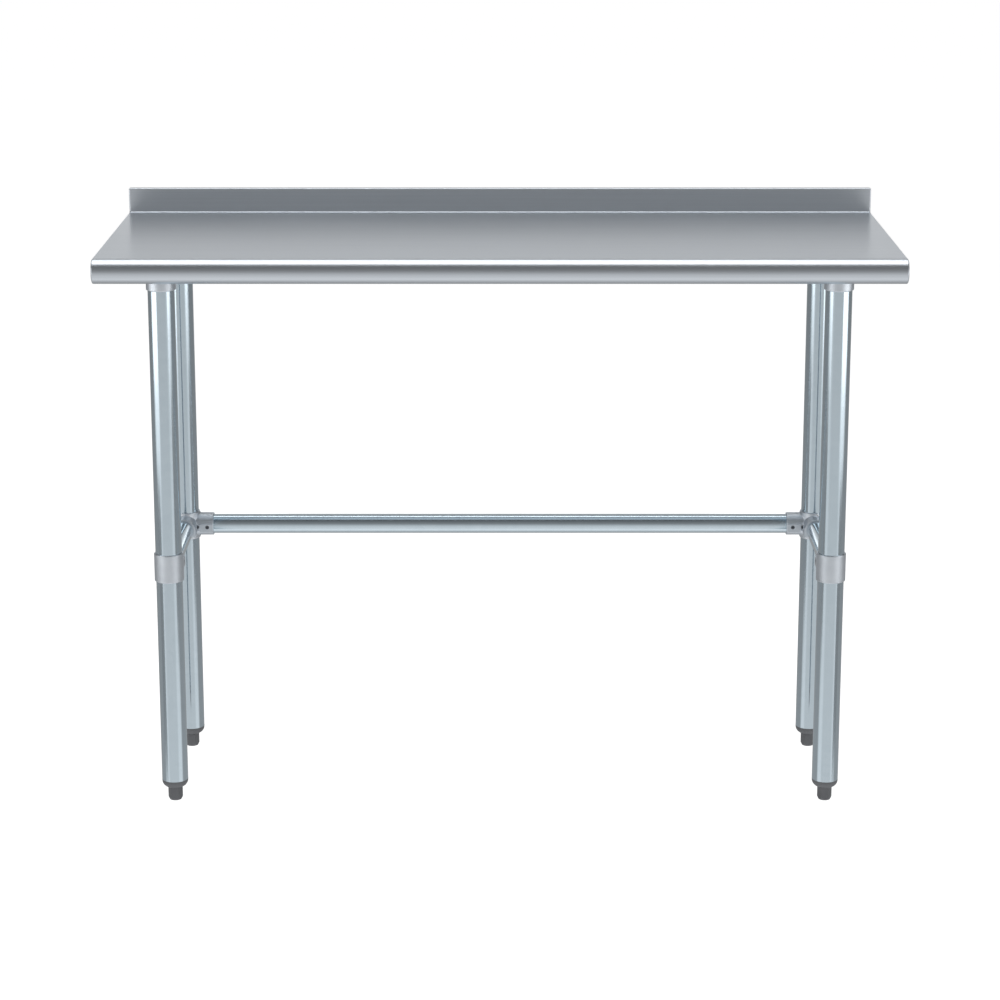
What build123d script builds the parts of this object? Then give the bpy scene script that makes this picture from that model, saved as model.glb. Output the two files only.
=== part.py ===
from build123d import *
import os

# Open-base work table, 48 by 18 inches, with a rolled front edge and a low rear upturn.
# Four round legs stand in sockets under the top and carry a three-sided tube brace.
#
# Frame: the origin is on the floor under the middle of the table. +X runs along the length
# to the right, +Y from the front edge to the back, +Z up. Left and right are as seen from
# the front. Every size is in millimetres.

# Top
LENGTH = 1219.2
DEPTH = 457.2
WORK_HEIGHT = 889.0
EDGE_HEIGHT = 38.1
UPTURN_HEIGHT = 39.3
UPTURN_RETURN = 12.7
SHEET = 1.2
CREASE_RADIUS = 2.2
BEND_RADIUS = 1.4
CORNER_RADIUS = 1.8
SIDE_HEM = 12.0
FRONT_LIP = 10.0
RETURN_LIP = 12.0

# Stiffening channels under the top
CHANNEL_DEPTH = 25.0
CHANNEL_WEB = 40.0
CHANNEL_FLANGE = 16.0
CHANNEL_BEND = 2.0
CHANNEL_FRONT_GAP = 14.0
CHANNEL_BACK_GAP = 16.0
CHANNEL_JOIN_GAP = 2.0

# Studs that hold the channels
STUD_RADIUS = 3.0
STUD_LENGTH = 12.0
STUD_CHAMFER = 0.5
STUD_HOLE_GAP = 0.3
NUT_WIDTH = 10.0
NUT_CORNER_RADIUS = 5.6
NUT_HEIGHT = 5.0
NUT_GAP = 0.05
CROSS_STUD_Y = (-150.0, 140.0)
LONG_STUD_X = (-400.0, 0.0, 400.0)

# Legs and their sockets
LEG_X = 517.5
FRONT_LEG_Y = -130.1
REAR_LEG_Y = 114.1
LEG_RADIUS = 41.275 / 2
LEG_WALL = 1.5
LEG_BOTTOM = 34.5
LEG_TOP = 857.0
SOCKET_PLATE = 76.0
SOCKET_PLATE_CORNER = 12.0
SOCKET_PLATE_THICKNESS = 3.0
SOCKET_RADIUS = 22.9
SOCKET_BOTTOM = 826.7
SOCKET_EDGE = 1.6
SOCKET_GAP = 0.06
SOCKET_BOSS_FACE = 28.0
SOCKET_BOSS_SINK = 1.5

# Brace
BAR_RADIUS = 31.75 / 2
BAR_WALL = 1.2
BRACE_Z = 386.3
BAR_START = 26.0
CLAMP_RADIUS = 22.9
CLAMP_HEIGHT = 45.0
CLAMP_EDGE = 1.6
CLAMP_GAP = 0.06
OUTLET_RADIUS = 18.7
OUTLET_REACH = 45.5
OUTLET_START = 25.5
OUTLET_EDGE = 1.0
OUTLET_GAP = 0.05
OUTLET_BLEND = 2.0
PAD_FACE = 20.0
PAD_TOP = 4.0
PAD_BOTTOM = -11.0
PAD_EDGE = 1.2
PAD_SCREW_REACH = 36.0
CLAMP_SCREW_DROP = 1.5
BOSS_FACE = 28.0
BOSS_RADIUS = 6.5

# Set screws
SCREW_RADIUS = 3.175
SCREW_CHAMFER = 0.6
SCREW_HOLE_GAP = 0.03
SCREW_RECESS = 0.4
SCREW_TIP_GAP = 0.1
LEG_SCREW_TIP_GAP = 0.4
SCREW_SOCKET_WIDTH = 3.2
SCREW_SOCKET_DEPTH = 2.4

# Levelling feet
INSERT_BOTTOM = 21.5
INSERT_ROUND = 11.5
INSERT_TOP = 66.0
INSERT_FIT_GAP = 0.1
INSERT_RIBS = 8
INSERT_CORE_RADIUS = 15.5
RIB_THICKNESS = 2.4
FOOT_NUT_WIDTH = 19.0
FOOT_NUT_HEIGHT = 10.0
FOOT_STUD_RADIUS = 6.0
FOOT_STUD_CHAMFER = 1.0
FOOT_STUD_GAP = 0.05
FOOT_STUD_BOTTOM = 7.0
FOOT_STUD_TOP = 92.0
TIP_WIDTH = 20.0
TIP_TOP = 21.2
TIP_BASE_RADIUS = 9.4
TIP_TAPER_RADIUS = 11.6
TIP_TAPER_HEIGHT = 4.5

# Places worked out from the sizes above
HALF_LENGTH = LENGTH / 2
BACK_Y = DEPTH / 2
NOSE_RADIUS = EDGE_HEIGHT / 2
NOSE_Y = NOSE_RADIUS - DEPTH / 2
EDGE_BOTTOM = WORK_HEIGHT - EDGE_HEIGHT
UPTURN_TOP = WORK_HEIGHT + UPTURN_HEIGHT
UPTURN_FACE_Y = BACK_Y - UPTURN_RETURN
UNDERSIDE = WORK_HEIGHT - SHEET
CHANNEL_BOTTOM = UNDERSIDE - CHANNEL_DEPTH
STUD_OFFSET = CHANNEL_WEB / 2 + CHANNEL_FLANGE / 2
CROSS_FRONT_Y = NOSE_Y + CHANNEL_FRONT_GAP
CROSS_BACK_Y = UPTURN_FACE_Y - CHANNEL_BACK_GAP
LONG_Y = (FRONT_LEG_Y + REAR_LEG_Y) / 2
LONG_HALF = LEG_X - CHANNEL_WEB / 2 - CHANNEL_FLANGE - CHANNEL_JOIN_GAP
SOCKET_TOP = CHANNEL_BOTTOM
SOCKET_SCREW_Z = SOCKET_TOP - SOCKET_PLATE_THICKNESS - BOSS_RADIUS + SOCKET_BOSS_SINK
TUBE_BORE_RADIUS = LEG_RADIUS - LEG_WALL

SIDES = {"left": -1, "right": 1}
ROWS = {"front": FRONT_LEG_Y, "rear": REAR_LEG_Y}


def disc(radius, bottom, top):
    """A solid cylinder on the Z axis, from height bottom to height top."""
    return Pos(0, 0, bottom) * Cylinder(radius, top - bottom, align=(Align.CENTER, Align.CENTER, Align.MIN))


def block(low, high):
    """A box from its lowest to its highest corner."""
    size = [b - a for a, b in zip(low, high)]
    middle = [(a + b) / 2 for a, b in zip(low, high)]
    return Pos(*middle) * Box(*size)


def hexagon(width, bottom, top):
    """A hexagonal prism on the Z axis with two flats facing front and back."""
    outline = RegularPolygon(width / 2, 6, major_radius=False)
    return Pos(0, 0, bottom) * extrude(outline, top - bottom)


def at_end(solid, x):
    """The edges of the flat end of a solid that lies at this X."""
    return [e for e in solid.edges() if all(abs(v.X - x) < 0.01 for v in e.vertices())]


# ---- Top ----

def top_section(inset):
    """The top's outline from front to back, moved inwards by inset."""
    crease_y = UPTURN_FACE_Y - CREASE_RADIUS
    crease_z = WORK_HEIGHT + CREASE_RADIUS
    bend_z = UPTURN_TOP - BEND_RADIUS
    bend_front_y = UPTURN_FACE_Y + BEND_RADIUS
    bend_back_y = BACK_Y - BEND_RADIUS
    top = UPTURN_TOP - inset
    face_y = UPTURN_FACE_Y + inset
    back_y = BACK_Y - inset
    bottom = EDGE_BOTTOM + inset
    bend = BEND_RADIUS - inset
    with BuildSketch(Plane.YZ) as section:
        with BuildLine():
            CenterArc((NOSE_Y, WORK_HEIGHT - NOSE_RADIUS), NOSE_RADIUS - inset, 90, 180)
            Line((NOSE_Y, WORK_HEIGHT - inset), (crease_y, WORK_HEIGHT - inset))
            CenterArc((crease_y, crease_z), CREASE_RADIUS + inset, 270, 90)
            Line((face_y, crease_z), (face_y, bend_z))
            CenterArc((bend_front_y, bend_z), bend, 90, 90)
            Line((bend_front_y, top), (bend_back_y, top))
            CenterArc((bend_back_y, bend_z), bend, 0, 90)
            Line((back_y, bend_z), (back_y, bottom))
            Line((back_y, bottom), (NOSE_Y, bottom))
        make_face()
    return section.sketch


def top_block(inset):
    """The top as a solid, moved inwards by inset, with rounded ends."""
    end = HALF_LENGTH - inset
    solid = extrude(top_section(inset), amount=end, both=True)
    rounded = at_end(solid, end) + at_end(solid, -end)
    return fillet(rounded, CORNER_RADIUS - inset)


def top_sheet():
    """One folded sheet: flat top, rolled front edge, side flanges, and an upturn with a return."""
    inside_end = HALF_LENGTH - SIDE_HEM
    underside_hole = block(
        (-inside_end, NOSE_Y + FRONT_LIP, EDGE_BOTTOM - SHEET),
        (inside_end, BACK_Y + SHEET, EDGE_BOTTOM + 2 * SHEET),
    )
    back_hole = block(
        (-inside_end, BACK_Y - 2 * SHEET, EDGE_BOTTOM - SHEET),
        (inside_end, BACK_Y + SHEET, UPTURN_TOP - RETURN_LIP),
    )
    return top_block(0) - top_block(SHEET) - underside_hole - back_hole


# ---- Channels ----

def channel(start, end):
    """A hat channel along X under the top, open side up, from x = start to x = end."""
    half_web = CHANNEL_WEB / 2 - SHEET / 2
    outer = CHANNEL_WEB / 2 + CHANNEL_FLANGE
    flange_z = UNDERSIDE - SHEET / 2
    web_z = CHANNEL_BOTTOM + SHEET / 2
    path = [(-outer, flange_z), (-half_web, flange_z), (-half_web, web_z)]
    path += [(half_web, web_z), (half_web, flange_z), (outer, flange_z)]
    with BuildSketch(Plane.YZ) as section:
        with BuildLine():
            FilletPolyline(*path, radius=CHANNEL_BEND)
        trace(line_width=SHEET)
    return Pos(start, 0, 0) * extrude(section.sketch, end - start)


def cross_stud_places(side):
    """The four stud places on a cross channel."""
    return [(side * LEG_X + across, y) for y in CROSS_STUD_Y for across in (-STUD_OFFSET, STUD_OFFSET)]


def long_stud_places():
    """The six stud places on the lengthwise channel."""
    return [(x, LONG_Y + across) for x in LONG_STUD_X for across in (-STUD_OFFSET, STUD_OFFSET)]


def stud_holes(places):
    """Clearance holes for studs, as one cutter."""
    hole = disc(STUD_RADIUS + STUD_HOLE_GAP, UNDERSIDE - 2 * SHEET, WORK_HEIGHT)
    return Compound(children=[Pos(x, y, 0) * hole for x, y in places])


def cross_channel(side):
    """The front-to-back channel over the two legs of one side."""
    straight = Rot(0, 0, 90) * channel(CROSS_FRONT_Y, CROSS_BACK_Y)
    return Pos(side * LEG_X, 0, 0) * straight - stud_holes(cross_stud_places(side))


def long_channel():
    """The lengthwise channel between the two cross channels."""
    return Pos(0, LONG_Y, 0) * channel(-LONG_HALF, LONG_HALF) - stud_holes(long_stud_places())


def all_stud_places():
    """Every stud place under the top."""
    return cross_stud_places(-1) + cross_stud_places(1) + long_stud_places()


def weld_studs():
    """The studs welded to the underside of the top."""
    stud = disc(STUD_RADIUS, UNDERSIDE - STUD_LENGTH, UNDERSIDE)
    stud = chamfer(stud.edges().sort_by(Axis.Z)[0], STUD_CHAMFER)
    return Compound(children=[Pos(x, y, 0) * stud for x, y in all_stud_places()])


def stud_nuts():
    """The nuts that pull the channels up to the top."""
    top = UNDERSIDE - SHEET
    nut = hexagon(NUT_WIDTH, top - NUT_HEIGHT, top) & disc(NUT_CORNER_RADIUS, top - NUT_HEIGHT, top)
    nut -= disc(STUD_RADIUS + NUT_GAP, top - NUT_HEIGHT, top)
    return Compound(children=[Pos(x, y, 0) * nut for x, y in all_stud_places()])


# ---- Set screws ----

def set_screw(tip, face):
    """A set screw along +X: its tip is at x = tip, and its socket opens just inside x = face."""
    length = face - SCREW_RECESS - tip
    screw = chamfer(disc(SCREW_RADIUS, 0, length).edges().sort_by(Axis.Z)[0], SCREW_CHAMFER)
    screw -= hexagon(SCREW_SOCKET_WIDTH, length - SCREW_SOCKET_DEPTH, length)
    return Pos(tip, 0, 0) * Rot(0, 90, 0) * screw


def screw_hole(start, end):
    """The cutter for a set screw's hole along +X."""
    return Pos(start, 0, 0) * Rot(0, 90, 0) * disc(SCREW_RADIUS + SCREW_HOLE_GAP, 0, end - start)


# ---- Legs and sockets ----

def leg():
    """A round leg tube, standing on the Z axis."""
    return disc(LEG_RADIUS, LEG_BOTTOM, LEG_TOP) - disc(TUBE_BORE_RADIUS, LEG_BOTTOM, LEG_TOP)


def socket_screw_frame():
    """Where a socket's set screw is: it points along -Y, as at a rear leg."""
    return Pos(0, 0, SOCKET_SCREW_Z) * Rot(0, 0, -90)


def socket():
    """A rear leg's socket on the Z axis: a plate under the channel and a cup for the leg."""
    plate_bottom = SOCKET_TOP - SOCKET_PLATE_THICKNESS
    half = SOCKET_PLATE / 2
    plate = block((-half, -half, plate_bottom), (half, half, SOCKET_TOP))
    plate = fillet(plate.edges().filter_by(Axis.Z), SOCKET_PLATE_CORNER)
    cup = disc(SOCKET_RADIUS, SOCKET_BOTTOM, plate_bottom)
    cup = fillet(cup.edges().sort_by(Axis.Z)[0], SOCKET_EDGE)
    boss = socket_screw_frame() * Rot(0, 90, 0) * disc(BOSS_RADIUS, 0, SOCKET_BOSS_FACE)
    bore = disc(LEG_RADIUS + SOCKET_GAP, SOCKET_BOTTOM, plate_bottom)
    hole = socket_screw_frame() * screw_hole(LEG_RADIUS, SOCKET_BOSS_FACE)
    return plate + cup + boss - bore - hole


def socket_screw():
    """The set screw of a rear leg's socket."""
    return socket_screw_frame() * set_screw(LEG_RADIUS + SCREW_TIP_GAP, SOCKET_BOSS_FACE)


# ---- Brace ----

def outlet():
    """One tube outlet of a clamp, along +X."""
    body = Rot(0, 90, 0) * disc(OUTLET_RADIUS, 0, OUTLET_REACH)
    return fillet(body.edges().sort_by(Axis.X)[-1], OUTLET_EDGE)


def outlet_pad():
    """The flat pad for the set screw, on the -Y side of an outlet along +X."""
    pad = block((CLAMP_RADIUS, -PAD_FACE, PAD_BOTTOM), (OUTLET_REACH - OUTLET_EDGE, 0, PAD_TOP))
    return fillet(pad.edges().filter_by(Axis.X).sort_by(Axis.Y)[:2], PAD_EDGE)


def outlet_bore():
    """The cutter for the tube's seat and the pad's screw hole."""
    seat = Rot(0, 90, 0) * disc(BAR_RADIUS + OUTLET_GAP, OUTLET_START, OUTLET_REACH)
    return seat + pad_frame() * screw_hole(BAR_RADIUS, PAD_FACE + OUTLET_EDGE)


def pad_frame():
    """Where the pad's set screw is, on an outlet along +X: it points along -Y."""
    return Pos(PAD_SCREW_REACH, 0, -CLAMP_SCREW_DROP) * Rot(0, 0, -90)


def leg_screw_frame(with_rear_outlet):
    """Where the leg's set screw is: between a rear clamp's outlets, or on a front clamp's outer side."""
    turn = -45 if with_rear_outlet else -135
    return Pos(0, 0, -CLAMP_SCREW_DROP) * Rot(0, 0, turn)


def turned(part):
    """An outlet part along +X, mirrored about the corner so that it points along -Y."""
    return mirror(Rot(0, 0, 45) * part, Plane.XZ).moved(Location((0, 0, 0), (0, 0, -45)))


def outlet_frames(with_rear_outlet):
    """What puts an outlet part along +X at each of a clamp's outlets."""
    return [turned, lambda part: part] if with_rear_outlet else [turned]


def seams(body):
    """The curved edges where a clamp's round parts run into each other."""
    return [e for e in body.edges() if e.geom_type in (GeomType.BSPLINE, GeomType.ELLIPSE)]


def clamp(with_rear_outlet):
    """A leg clamp on the Z axis, at height 0, as at the rear left leg."""
    half = CLAMP_HEIGHT / 2
    body = disc(CLAMP_RADIUS, -half, half)
    body = fillet(body.edges().filter_by(GeomType.CIRCLE), CLAMP_EDGE)
    frames = outlet_frames(with_rear_outlet)
    for frame in frames:
        body += frame(outlet())
    body = fillet(seams(body), OUTLET_BLEND)
    for frame in frames:
        body += frame(outlet_pad())
    leg_screw_place = leg_screw_frame(with_rear_outlet)
    body += leg_screw_place * Rot(0, 90, 0) * disc(BOSS_RADIUS, 0, BOSS_FACE)
    body -= disc(LEG_RADIUS + CLAMP_GAP, -half, half)
    body -= leg_screw_place * screw_hole(LEG_RADIUS, BOSS_FACE + OUTLET_EDGE)
    for frame in frames:
        body -= frame(outlet_bore())
    return body


def clamp_screws(with_rear_outlet):
    """The set screws of one clamp: one for the leg and one for each tube."""
    pad_screw = pad_frame() * set_screw(BAR_RADIUS + SCREW_TIP_GAP, PAD_FACE)
    leg_screw = leg_screw_frame(with_rear_outlet) * set_screw(LEG_RADIUS + LEG_SCREW_TIP_GAP, BOSS_FACE)
    tube_screws = [frame(pad_screw) for frame in outlet_frames(with_rear_outlet)]
    return Compound(children=[leg_screw, *tube_screws])


def bar(length):
    """A brace tube along +X, centred on the origin."""
    tube = disc(BAR_RADIUS, -length / 2, length / 2) - disc(BAR_RADIUS - BAR_WALL, -length / 2, length / 2)
    return Rot(0, 90, 0) * tube


# ---- Feet ----

def foot_insert():
    """The plug in a leg's end: a domed cap, a ribbed shank, and a pocket for the nut."""
    flat_radius = LEG_RADIUS - INSERT_ROUND
    round_z = INSERT_BOTTOM + INSERT_ROUND
    with BuildSketch(Plane.XZ) as half_dome:
        with BuildLine():
            Line((0, LEG_BOTTOM), (LEG_RADIUS, LEG_BOTTOM))
            Line((LEG_RADIUS, LEG_BOTTOM), (LEG_RADIUS, round_z))
            CenterArc((flat_radius, round_z), INSERT_ROUND, 270, 90)
            Line((flat_radius, INSERT_BOTTOM), (0, INSERT_BOTTOM))
            Line((0, INSERT_BOTTOM), (0, LEG_BOTTOM))
        make_face()
    dome = revolve(half_dome.sketch, Axis.Z)
    shank = disc(INSERT_CORE_RADIUS, LEG_BOTTOM, INSERT_TOP)
    reach = TUBE_BORE_RADIUS - INSERT_FIT_GAP
    rib = block((0, -RIB_THICKNESS / 2, LEG_BOTTOM), (reach, RIB_THICKNESS / 2, INSERT_TOP))
    for i in range(INSERT_RIBS):
        shank += Rot(0, 0, i * 360 / INSERT_RIBS) * rib
    bore = disc(FOOT_STUD_RADIUS + FOOT_STUD_GAP, INSERT_BOTTOM, INSERT_TOP)
    pocket = hexagon(FOOT_NUT_WIDTH, INSERT_TOP - FOOT_NUT_HEIGHT, INSERT_TOP)
    return dome + shank - bore - pocket


def foot_nut():
    """The nut in the top of a foot insert."""
    nut = hexagon(FOOT_NUT_WIDTH, INSERT_TOP - FOOT_NUT_HEIGHT, INSERT_TOP)
    return nut - disc(FOOT_STUD_RADIUS + FOOT_STUD_GAP, INSERT_TOP - FOOT_NUT_HEIGHT, INSERT_TOP)


def foot_stud():
    """The threaded rod of a levelling foot, without its thread."""
    rod = disc(FOOT_STUD_RADIUS, FOOT_STUD_BOTTOM, FOOT_STUD_TOP)
    return chamfer(rod.edges().sort_by(Axis.Z)[-1], FOOT_STUD_CHAMFER)


def foot_tip():
    """The hexagonal tip that stands on the floor and turns to set the height."""
    low_align = (Align.CENTER, Align.CENTER, Align.MIN)
    taper = Cone(TIP_BASE_RADIUS, TIP_TAPER_RADIUS, TIP_TAPER_HEIGHT, align=low_align)
    envelope = taper + disc(TIP_TAPER_RADIUS, TIP_TAPER_HEIGHT, TIP_TOP)
    bore = disc(FOOT_STUD_RADIUS + FOOT_STUD_GAP, FOOT_STUD_BOTTOM, TIP_TOP)
    return (hexagon(TIP_WIDTH, 0, TIP_TOP) & envelope) - bore


# ---- Assembly ----

def placed(part, side, row, z=0):
    """A part made on the Z axis for the rear left leg, put at any leg."""
    if row == "front":
        part = mirror(part, Plane.XZ)
    if side > 0:
        part = mirror(part, Plane.YZ)
    return part.moved(Location((side * LEG_X, ROWS[row], z)))


def build_nodes():
    """Every node of the table, by name."""
    nodes = {"top_sheet": top_sheet(), "channel_middle": long_channel()}
    nodes["weld_studs"] = weld_studs()
    nodes["stud_nuts"] = stud_nuts()
    rear_length = 2 * (LEG_X - BAR_START)
    side_length = REAR_LEG_Y - FRONT_LEG_Y - 2 * BAR_START
    nodes["brace_bar_rear"] = Pos(0, REAR_LEG_Y, BRACE_Z) * bar(rear_length)
    for side_name, side in SIDES.items():
        nodes[f"channel_{side_name}"] = cross_channel(side)
        side_bar = Rot(0, 0, 90) * bar(side_length)
        nodes[f"brace_bar_{side_name}"] = Pos(side * LEG_X, LONG_Y, BRACE_Z) * side_bar
        for row in ROWS:
            corner = f"{row}_{side_name}"
            has_rear_outlet = row == "rear"
            nodes[f"leg_{corner}"] = placed(leg(), side, row)
            nodes[f"socket_{corner}"] = placed(socket(), side, row)
            nodes[f"socket_screw_{corner}"] = placed(socket_screw(), side, row)
            nodes[f"clamp_{corner}"] = placed(clamp(has_rear_outlet), side, row, BRACE_Z)
            nodes[f"clamp_screws_{corner}"] = placed(clamp_screws(has_rear_outlet), side, row, BRACE_Z)
            nodes[f"foot_insert_{corner}"] = placed(foot_insert(), side, row)
            nodes[f"foot_nut_{corner}"] = placed(foot_nut(), side, row)
            nodes[f"foot_stud_{corner}"] = placed(foot_stud(), side, row)
            nodes[f"foot_tip_{corner}"] = placed(foot_tip(), side, row)
    return nodes


os.makedirs("parts", exist_ok=True)
for name, shape in build_nodes().items():
    export_step(shape, f"parts/{name}.step")
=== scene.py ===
import math

import bpy
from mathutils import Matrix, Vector


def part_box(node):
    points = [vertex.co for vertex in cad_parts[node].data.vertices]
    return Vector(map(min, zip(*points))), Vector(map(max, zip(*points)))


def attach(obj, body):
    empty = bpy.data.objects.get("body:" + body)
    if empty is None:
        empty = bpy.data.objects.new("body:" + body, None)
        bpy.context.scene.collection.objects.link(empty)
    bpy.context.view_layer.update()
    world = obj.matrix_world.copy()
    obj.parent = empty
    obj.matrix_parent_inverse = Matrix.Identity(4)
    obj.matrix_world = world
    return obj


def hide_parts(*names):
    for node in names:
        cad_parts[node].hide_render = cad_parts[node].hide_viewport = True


# The camera: in front of the middle of the table, looking down on it.
CAMERA_AWAY = 4.209
CAMERA_HEIGHT = 1.619
CAMERA_TILT = math.radians(13.32)
CAMERA_LENS = 97.9
CAMERA_SHIFT = -0.10
CAMERA_REACH = 200.0

CORNERS = ("front_left", "front_right", "rear_left", "rear_right")

# The way the stainless sheet is brushed: along its length, tilted a little so that the sheet's
# ends, which face that way, have a grain direction too.
GRAIN_DIRECTION = (1.0, 0.0, 0.03)

# Each finish's darkest and lightest colour.
STAINLESS_COLORS = ((0.595, 0.635, 0.680), (0.625, 0.665, 0.710))
GALVANISED_COLORS = ((0.598, 0.693, 0.758), (0.622, 0.717, 0.782))
CAST_COLORS = ((0.68, 0.725, 0.775), (0.74, 0.785, 0.835))
ZINC_COLORS = ((0.50, 0.53, 0.56), (0.62, 0.65, 0.68))
BLACKENED_COLORS = ((0.10, 0.11, 0.125), (0.20, 0.21, 0.23))
PLASTIC_COLORS = ((0.100, 0.104, 0.112), (0.118, 0.122, 0.131))
WELD_COLORS = ((0.40, 0.41, 0.43), (0.56, 0.57, 0.58))

# Each finish's least and greatest roughness.
STAINLESS_ROUGHNESS = (0.29, 0.31)
GALVANISED_ROUGHNESS = (0.12, 0.17)
CAST_ROUGHNESS = (0.38, 0.48)
ZINC_ROUGHNESS = (0.28, 0.40)
BLACKENED_ROUGHNESS = (0.25, 0.40)
PLASTIC_ROUGHNESS = (0.42, 0.55)
WELD_ROUGHNESS = (0.30, 0.45)

# How much wider a highlight is across the brushed grain than along it.
STAINLESS_STRETCH = 0.5

# How finely each pattern repeats along X, Y and Z, per metre. Drawing lines run where it is small.
EVEN = (1.0, 1.0, 1.0)
STAINLESS_GRAIN = (3.0, 420.0, 420.0)
STAINLESS_CLOUD = (1.0, 2.0, 2.0)
LINES_UPRIGHT = (900.0, 900.0, 6.0)
LINES_ACROSS = (6.0, 900.0, 900.0)
LINES_INWARD = (900.0, 6.0, 900.0)
TURNING_LINES = (1.0, 1.0, 40.0)

# A screw thread's outline over one pitch: how far along, and whether at the crest.
THREAD_OUTLINE = ((0.0, False), (0.125, False), (0.44, True), (0.56, True), (0.875, False))
THREAD_PITCH = 0.0015
THREAD_DEPTH = 0.0008
THREAD_STEPS = 32

# The weld beads that hold each socket's plate to its channel: one along each wall of the channel.
BEAD_ASIDE = 0.0205
BEAD_RADIUS = 0.0024
BEAD_LENGTH = 0.060
BEAD_STEPS = 120
BEAD_RIPPLES = 20
BEAD_RIPPLE = 0.12
BEAD_END_SHARPNESS = 8
BEAD_SIDES = 12

# The studio's light boxes: place, aim, width, height and radiance. A square metre of an area lamp
# needs this much power for a radiance of one.
POWER_PER_RADIANCE = 4
LIGHT_BOXES = {
    "light_overhead": ((0.0, 0.19, 2.9), (0.0, 0.19, 0.0), 3.2, 1.76, 1.9),
    "light_left": ((-2.31, -1.09, 1.02), (-0.5, -0.13, 1.02), 1.85, 1.6, 1.0),
    "light_left_low": ((-2.31, -1.09, 0.75), (-0.5, -0.13, 0.75), 1.85, 1.5, 0.3),
    "light_right": ((2.31, -1.09, 1.02), (0.5, -0.13, 1.02), 1.85, 1.6, 1.0),
    "light_right_low": ((2.31, -1.09, 0.75), (0.5, -0.13, 0.75), 1.85, 1.5, 0.3),
    "light_behind_left": ((-0.87, 3.6, 0.75), (0.5, 0.0, 0.39), 0.5, 0.9, 0.5),
    "light_behind_right": ((0.87, 3.6, 0.75), (-0.5, 0.0, 0.39), 0.5, 0.9, 0.5),
}
# The room's brightness at each elevation in degrees: in front of the table, at its front corners,
# at its sides and behind it.
FRONT_ROOM = ((-85, 0.80), (-72, 1.05), (-60, 0.95), (-45, 0.82), (-27, 0.77), (-20, 0.70), (-12, 0.62),
              (0, 0.42), (10, 0.30), (19, 0.25), (28, 0.22), (37, 0.19), (46, 0.14), (58, 0.08), (90, 0.15))
CORNER_ROOM = ((-85, 0.80), (-45, 1.00), (-27, 0.98), (-20, 0.85), (-12, 0.72), (0, 0.50), (15, 0.40),
               (45, 0.30), (90, 0.15))
SIDE_ROOM = ((-85, 0.60), (-60, 0.43), (-36, 0.44), (-24, 0.42), (-14, 0.30), (0, 0.15), (60, 0.10),
             (90, 0.15))
BACK_ROOM = ((-85, 0.60), (-60, 0.43), (-36, 0.43), (-24, 0.40), (-14, 0.34), (-8, 0.45), (-2, 1.05),
             (7, 1.25), (13, 0.55), (20, 0.40), (30, 0.36), (50, 0.45), (90, 0.20))
# Where each next part of the room begins, by the cosine of the angle from straight in front.
CORNER_TURN = (0.78, 0.68)
SIDE_TURN = (0.30, 0.10)
BACK_TURN = (-0.85, -0.94)
# The grey panel hung under each side light box, which glows with painted light in place of lit cloth:
# where it ends toward the front, as a part of the box's half width, its top, its bottom and its glow.
SKIRT_FRONT = 0.27
SKIRT_TOP = -0.02
SKIRT_BOTTOM = -0.72
SKIRT_GLOW = 0.27
# The numbers of a mix node's colour sockets, which share their names with others.
MIX_COLOR_A = 6
MIX_COLOR_B = 7
MIX_COLOR_OUT = 2
# The floor lies just under the levelling feet at their longest, so that it never hides their tips.
FLOOR_LEVEL = -0.026
FLOOR_RADIUS = 60.0
FLOOR_GLOW = 0.92
FLOOR_GREY = 0.4


def add_node(tree, kind, **inputs):
    """A new shader node with its input sockets set by name; a socket given as a value is linked."""
    new = tree.nodes.new(kind)
    for name, value in inputs.items():
        socket = new.inputs[name.replace("_", " ")]
        if isinstance(value, bpy.types.NodeSocket):
            tree.links.new(value, socket)
        else:
            socket.default_value = value
    return new


def noise(tree, stretch, scale, detail=3.0):
    """Noise in the object's own space, with its grain drawn out where stretch is small."""
    place = add_node(tree, "ShaderNodeTexCoord").outputs["Object"]
    drawn = add_node(tree, "ShaderNodeMapping", Vector=place, Scale=stretch).outputs["Vector"]
    return add_node(tree, "ShaderNodeTexNoise", Vector=drawn, Scale=scale, Detail=detail).outputs["Fac"]


def crystals(tree, scale):
    """A random grey for each cell of a pattern of flat crystals."""
    place = add_node(tree, "ShaderNodeTexCoord").outputs["Object"]
    cells = add_node(tree, "ShaderNodeTexVoronoi", Vector=place, Scale=scale)
    return cells.outputs["Color"]


def between(tree, value, low, high, start=0.3, stop=0.7):
    """The value, taken from start..stop to low..high."""
    span = add_node(tree, "ShaderNodeMapRange", Value=value)
    span.inputs["From Min"].default_value = start
    span.inputs["From Max"].default_value = stop
    span.inputs["To Min"].default_value = low
    span.inputs["To Max"].default_value = high
    return span.outputs["Result"]


def shade(tree, value, colors, start=0.3, stop=0.7):
    """A colour that goes from the first to the second as the value goes from start to stop."""
    ramp = add_node(tree, "ShaderNodeValToRGB", Fac=value)
    for end, position, color in zip(ramp.color_ramp.elements, (start, stop), colors):
        end.position = position
        end.color = (*color, 1.0)
    return ramp.outputs["Color"]


def bump(tree, height, strength, distance):
    """The surface's normal, tipped by the slope of a height."""
    relief = add_node(tree, "ShaderNodeBump", Height=height, Strength=strength, Distance=distance)
    return relief.outputs["Normal"]


def finish(tree, shader, **values):
    """Links values to the shader's sockets of the same names."""
    for name, value in values.items():
        tree.links.new(value, shader.inputs[name.replace("_", " ")])


def new_material(name, metallic):
    """A material's node tree and its shader."""
    material = bpy.data.materials.new(name)
    material.use_nodes = True
    shader = material.node_tree.nodes["Principled BSDF"]
    shader.inputs["Metallic"].default_value = metallic
    return material, material.node_tree, shader


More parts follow.
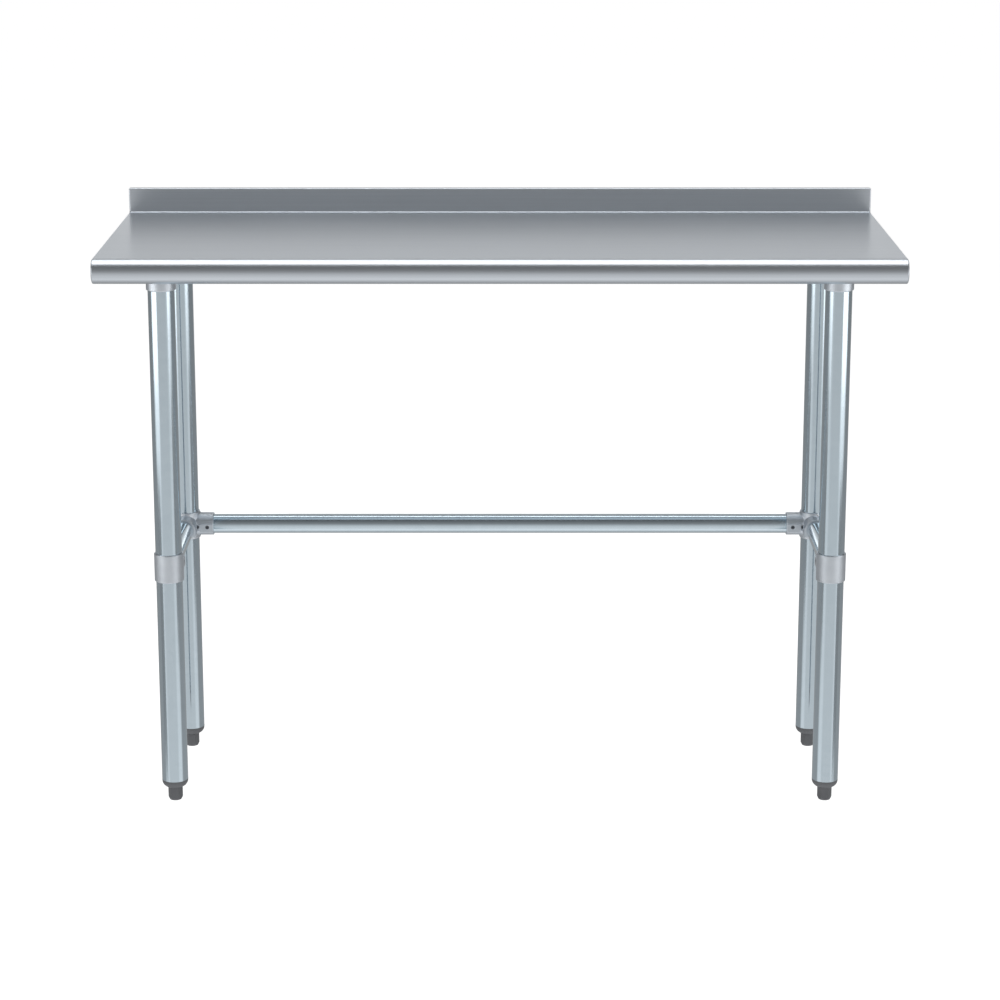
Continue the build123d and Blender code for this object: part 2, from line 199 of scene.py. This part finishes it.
def brushed_stainless():
    """Sheet steel with a satin finish brushed along its length."""
    material, tree, shader = new_material("brushed_stainless", 1.0)
    grain = noise(tree, STAINLESS_GRAIN, 1.0, 4.0)
    cloud = noise(tree, STAINLESS_CLOUD, 3.0, 2.0)
    normal = add_node(tree, "ShaderNodeNewGeometry").outputs["Normal"]
    across = add_node(tree, "ShaderNodeVectorMath")
    across.operation = "CROSS_PRODUCT"
    tree.links.new(normal, across.inputs[0])
    across.inputs[1].default_value = GRAIN_DIRECTION
    shader.inputs["Anisotropic"].default_value = STAINLESS_STRETCH
    finish(tree, shader, Base_Color=shade(tree, grain, STAINLESS_COLORS),
           Roughness=between(tree, cloud, *STAINLESS_ROUGHNESS), Normal=bump(tree, grain, 0.06, 0.0001),
           Tangent=across.outputs["Vector"])
    return material


def galvanised_steel(name, stretch):
    """Zinc-coated tube with faint crystals and fine drawing lines along it."""
    material, tree, shader = new_material(name, 1.0)
    lines = noise(tree, stretch, 1.0)
    spangle = crystals(tree, 90.0)
    finish(tree, shader, Base_Color=shade(tree, spangle, GALVANISED_COLORS, 0.0, 1.0),
           Roughness=between(tree, lines, *GALVANISED_ROUGHNESS), Normal=bump(tree, lines, 0.03, 0.0002))
    return material


def cast_metal():
    """Sand-cast alloy with a fine grain."""
    material, tree, shader = new_material("cast_metal", 1.0)
    grain = noise(tree, EVEN, 1400.0)
    cloud = noise(tree, EVEN, 60.0, 2.0)
    finish(tree, shader, Base_Color=shade(tree, cloud, CAST_COLORS),
           Roughness=between(tree, grain, *CAST_ROUGHNESS), Normal=bump(tree, grain, 0.25, 0.0003))
    return material


def zinc_fastener():
    """Bright zinc plate on small turned and pressed parts."""
    material, tree, shader = new_material("zinc_fastener", 1.0)
    turned = noise(tree, TURNING_LINES, 60.0)
    finish(tree, shader, Base_Color=shade(tree, turned, ZINC_COLORS),
           Roughness=between(tree, turned, *ZINC_ROUGHNESS), Normal=bump(tree, turned, 0.08, 0.0002))
    return material


def blackened_screw():
    """Hardened set screw with a dark oxide finish."""
    material, tree, shader = new_material("blackened_screw", 1.0)
    patina = noise(tree, EVEN, 500.0)
    finish(tree, shader, Base_Color=shade(tree, patina, BLACKENED_COLORS),
           Roughness=between(tree, patina, *BLACKENED_ROUGHNESS))
    return material


def moulded_plastic():
    """Dark grey nylon with a fine moulded texture."""
    material, tree, shader = new_material("dark_plastic", 0.0)
    texture = noise(tree, EVEN, 1800.0, 2.0)
    cloud = noise(tree, EVEN, 40.0, 2.0)
    finish(tree, shader, Base_Color=shade(tree, cloud, PLASTIC_COLORS),
           Roughness=between(tree, texture, *PLASTIC_ROUGHNESS), Normal=bump(tree, texture, 0.15, 0.0002))
    return material


def weld_metal():
    """Weld bead with its heat tint brushed off."""
    material, tree, shader = new_material("weld_metal", 1.0)
    ripple = noise(tree, EVEN, 700.0)
    finish(tree, shader, Base_Color=shade(tree, ripple, WELD_COLORS),
           Roughness=between(tree, ripple, *WELD_ROUGHNESS))
    return material


def paint(piece, material):
    """Puts one material in every slot of a piece."""
    if not piece.material_slots:
        piece.data.materials.append(material)
    for place in piece.material_slots:
        place.material = material


def paint_nodes(nodes, finishes):
    """Gives every CAD node the finish whose prefix its name starts with."""
    for name, piece in nodes.items():
        prefixes = [p for p in finishes if name.startswith(p)]
        paint(piece, finishes[max(prefixes, key=len)])


def mesh_object(name, points, faces):
    """A new mesh object, smooth all over."""
    mesh = bpy.data.meshes.new(name)
    mesh.from_pydata(points, [], faces)
    mesh.update()
    mesh.polygons.foreach_set("use_smooth", [True] * len(mesh.polygons))
    piece = bpy.data.objects.new(name, mesh)
    bpy.context.scene.collection.objects.link(piece)
    return piece


def thread_points(middle, bottom, top, radius):
    """The points of a screw thread around an upright line, one outline for each step of its turn."""
    points = []
    turns = int((top - bottom) / THREAD_PITCH)
    for step in range(turns * THREAD_STEPS + 1):
        angle = 2 * math.pi * step / THREAD_STEPS
        start = bottom + THREAD_PITCH * (step / THREAD_STEPS - 0.5)
        for along, at_crest in THREAD_OUTLINE:
            out = radius if at_crest else radius - THREAD_DEPTH
            z = min(max(start + along * THREAD_PITCH, bottom), top)
            points.append((middle.x + out * math.cos(angle), middle.y + out * math.sin(angle), z))
    return points, turns


def thread_faces(turns):
    """The faces between those points: along each outline, and from each turn to the next."""
    rows = len(THREAD_OUTLINE)
    faces = []
    for step in range(turns * THREAD_STEPS):
        for row in range(rows - 1):
            here = step * rows + row
            faces.append((here, here + rows, here + rows + 1, here + 1))
    for step in range((turns - 1) * THREAD_STEPS):
        here = step * rows + rows - 1
        above = (step + THREAD_STEPS) * rows
        faces.append((here, here + rows, above + rows, above))
    return faces


def threaded_rod(corner, material):
    """The foot's rod with its real screw thread, in place of the plain rod."""
    plain = "foot_stud_" + corner
    low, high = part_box(plain)
    points, turns = thread_points((low + high) / 2, low.z, high.z, (high.x - low.x) / 2)
    piece = mesh_object("foot_thread_" + corner, points, thread_faces(turns))
    paint(piece, material)
    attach(piece, "foot_" + corner + "_stud")
    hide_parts(plain)


def bead_ring(place, along):
    """One ring of points around a weld bead, which thins out at both ends."""
    thin = math.sqrt(max(0.0, 1.0 - abs(2.0 * along - 1.0) ** BEAD_END_SHARPNESS))
    ripple = 1.0 + BEAD_RIPPLE * math.cos(2 * math.pi * BEAD_RIPPLES * along)
    reach = BEAD_RADIUS * thin * ripple
    angles = [2 * math.pi * i / BEAD_SIDES for i in range(BEAD_SIDES)]
    return [place + Vector((reach * math.cos(a), 0.0, reach * math.sin(a))) for a in angles]


def weld_beads(corner, material):
    """The two rippled beads that hold a socket's plate to the channel above it."""
    low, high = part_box("socket_" + corner)
    middle = (low + high) / 2
    points = []
    faces = []
    for x in (middle.x - BEAD_ASIDE, middle.x + BEAD_ASIDE):
        first = len(points)
        for step in range(BEAD_STEPS + 1):
            along = step / BEAD_STEPS
            points += bead_ring(Vector((x, middle.y + (along - 0.5) * BEAD_LENGTH, high.z)), along)
        for step in range(BEAD_STEPS):
            row = first + step * BEAD_SIDES
            above = row + BEAD_SIDES
            for here in range(BEAD_SIDES):
                there = (here + 1) % BEAD_SIDES
                faces.append((row + here, row + there, above + there, above + here))
    piece = mesh_object("weld_beads_" + corner, points, faces)
    paint(piece, material)
    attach(piece, "table")


def light_box(name, place, aim, width, height, radiance):
    """A soft box that no camera sees."""
    lamp = bpy.data.lights.new(name, "AREA")
    lamp.shape = "RECTANGLE"
    lamp.size = width
    lamp.size_y = height
    lamp.energy = radiance * width * height * POWER_PER_RADIANCE
    holder = bpy.data.objects.new(name, lamp)
    holder.location = place
    holder.rotation_euler = (Vector(aim) - Vector(place)).to_track_quat("-Z", "Y").to_euler()
    holder.visible_camera = False
    bpy.context.scene.collection.objects.link(holder)


def room_ramp(tree, height, steps):
    """The room's brightness by the height of the direction, from straight down to straight up."""
    ramp = add_node(tree, "ShaderNodeValToRGB", Fac=height)
    stops = ramp.color_ramp.elements
    while len(stops) < len(steps):
        stops.new(1.0)
    for stop, (elevation, level) in zip(stops, steps):
        stop.position = 0.5 + math.sin(math.radians(elevation)) / 2
        stop.color = (level, level, level, 1.0)
    return ramp.outputs["Color"]


def room():
    """The studio around the table, whose brightness goes by the height and side of each direction."""
    world = bpy.data.worlds.new("studio")
    world.use_nodes = True
    bpy.context.scene.world = world
    tree = world.node_tree
    direction = add_node(tree, "ShaderNodeTexCoord").outputs["Generated"]
    parts = add_node(tree, "ShaderNodeSeparateXYZ", Vector=direction)
    height = between(tree, parts.outputs["Z"], 0.0, 1.0, -1.0, 1.0)
    level = add_node(tree, "ShaderNodeVectorMath")
    level.operation = "MULTIPLY"
    tree.links.new(direction, level.inputs[0])
    level.inputs[1].default_value = (1.0, 1.0, 0.0)
    compass = add_node(tree, "ShaderNodeVectorMath")
    compass.operation = "NORMALIZE"
    tree.links.new(level.outputs["Vector"], compass.inputs[0])
    behind = add_node(tree, "ShaderNodeSeparateXYZ", Vector=compass.outputs["Vector"]).outputs["Y"]
    light = room_ramp(tree, height, FRONT_ROOM)
    turns = ((CORNER_ROOM, CORNER_TURN), (SIDE_ROOM, SIDE_TURN), (BACK_ROOM, BACK_TURN))
    for steps, (start, stop) in turns:
        mix = add_node(tree, "ShaderNodeMix")
        mix.data_type = "RGBA"
        tree.links.new(between(tree, behind, 0.0, 1.0, -start, -stop), mix.inputs["Factor"])
        tree.links.new(light, mix.inputs[MIX_COLOR_A])
        tree.links.new(room_ramp(tree, height, steps), mix.inputs[MIX_COLOR_B])
        light = mix.outputs[MIX_COLOR_OUT]
    tree.links.new(light, tree.nodes["Background"].inputs["Color"])


def glowing_skirt_panels():
    """A grey panel under each side light box that glows with painted light in place of lit cloth, which
    only the metal mirrors.
    """
    material, tree, shader = new_material("glowing_grey_panel", 0.0)
    shader.inputs["Base Color"].default_value = (0.01, 0.01, 0.01, 1.0)
    shader.inputs["Roughness"].default_value = 1.0
    # The panel's grey is painted light: an even glow, not cloth lit by the lamps.
    shader.inputs["Emission Color"].default_value = (1.0, 1.0, 1.0, 1.0)
    shader.inputs["Emission Strength"].default_value = SKIRT_GLOW
    for name in ("light_left", "light_right"):
        place, aim, width = LIGHT_BOXES[name][:3]
        facing = (Vector(aim) - Vector(place)).normalized()
        backward = Vector((-facing.y, facing.x, 0.0)) * math.copysign(width / 2, facing.x)
        middle = Vector((place[0], place[1], 0.0))
        front = middle - backward * SKIRT_FRONT
        back = middle + backward
        corners = [place + Vector((0.0, 0.0, z)) for place, z in (
            (front, SKIRT_BOTTOM), (back, SKIRT_BOTTOM), (back, SKIRT_TOP), (front, SKIRT_TOP))]
        cloth = mesh_object(name + "_skirt", corners, [(0, 1, 2, 3)])
        paint(cloth, material)
        cloth.visible_camera = False


def floor():
    """A plain pale floor, matt enough not to mirror in the metal."""
    material, tree, shader = new_material("pale_floor", 0.0)
    shader.inputs["Base Color"].default_value = (FLOOR_GREY, FLOOR_GREY, FLOOR_GREY, 1.0)
    shader.inputs["Roughness"].default_value = 1.0
    shader.inputs["Specular IOR Level"].default_value = 0.0
    shader.inputs["Emission Color"].default_value = (1.0, 1.0, 1.0, 1.0)
    shader.inputs["Emission Strength"].default_value = FLOOR_GLOW
    sides = ((-1, -1), (1, -1), (1, 1), (-1, 1))
    square = [(x * FLOOR_RADIUS, y * FLOOR_RADIUS, FLOOR_LEVEL) for x, y in sides]
    ground = mesh_object("floor", square, [(0, 1, 2, 3)])
    paint(ground, material)
    ground.visible_glossy = False


def camera():
    """The camera, level from side to side and tilted down."""
    lens = bpy.data.cameras.new("camera")
    lens.lens = CAMERA_LENS
    lens.shift_y = CAMERA_SHIFT
    lens.clip_end = CAMERA_REACH
    holder = bpy.data.objects.new("camera", lens)
    holder.location = (0.0, -CAMERA_AWAY, CAMERA_HEIGHT)
    holder.rotation_euler = (math.pi / 2 - CAMERA_TILT, 0.0, 0.0)
    bpy.context.scene.collection.objects.link(holder)
    bpy.context.scene.camera = holder


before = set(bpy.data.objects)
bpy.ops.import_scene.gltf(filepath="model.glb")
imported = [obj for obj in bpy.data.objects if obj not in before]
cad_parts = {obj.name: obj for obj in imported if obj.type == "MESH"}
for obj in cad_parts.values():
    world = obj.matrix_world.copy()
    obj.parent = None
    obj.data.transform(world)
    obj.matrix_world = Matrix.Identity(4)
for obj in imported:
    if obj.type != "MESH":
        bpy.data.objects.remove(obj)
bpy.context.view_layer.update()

camera()
for box_name, settings in LIGHT_BOXES.items():
    light_box(box_name, *settings)
room()
glowing_skirt_panels()
floor()
bpy.context.scene.view_settings.view_transform = "Standard"

stainless = brushed_stainless()
galvanised_upright = galvanised_steel("galvanised_upright", LINES_UPRIGHT)
galvanised_across = galvanised_steel("galvanised_across", LINES_ACROSS)
galvanised_inward = galvanised_steel("galvanised_inward", LINES_INWARD)
cast = cast_metal()
zinc = zinc_fastener()
blackened = blackened_screw()
plastic = moulded_plastic()
weld = weld_metal()
paint_nodes(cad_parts, {
    "top_sheet": stainless,
    "channel_left": galvanised_inward,
    "channel_right": galvanised_inward,
    "channel_middle": galvanised_across,
    "weld_studs": zinc,
    "stud_nuts": zinc,
    "brace_bar_rear": galvanised_across,
    "brace_bar": galvanised_inward,
    "leg_": galvanised_upright,
    "socket_": cast,
    "socket_screw_": blackened,
    "clamp_": cast,
    "clamp_screws_": blackened,
    "foot_insert_": plastic,
    "foot_nut_": zinc,
    "foot_stud_": zinc,
    "foot_tip_": plastic,
})
for corner in CORNERS:
    threaded_rod(corner, zinc)
    weld_beads(corner, weld)
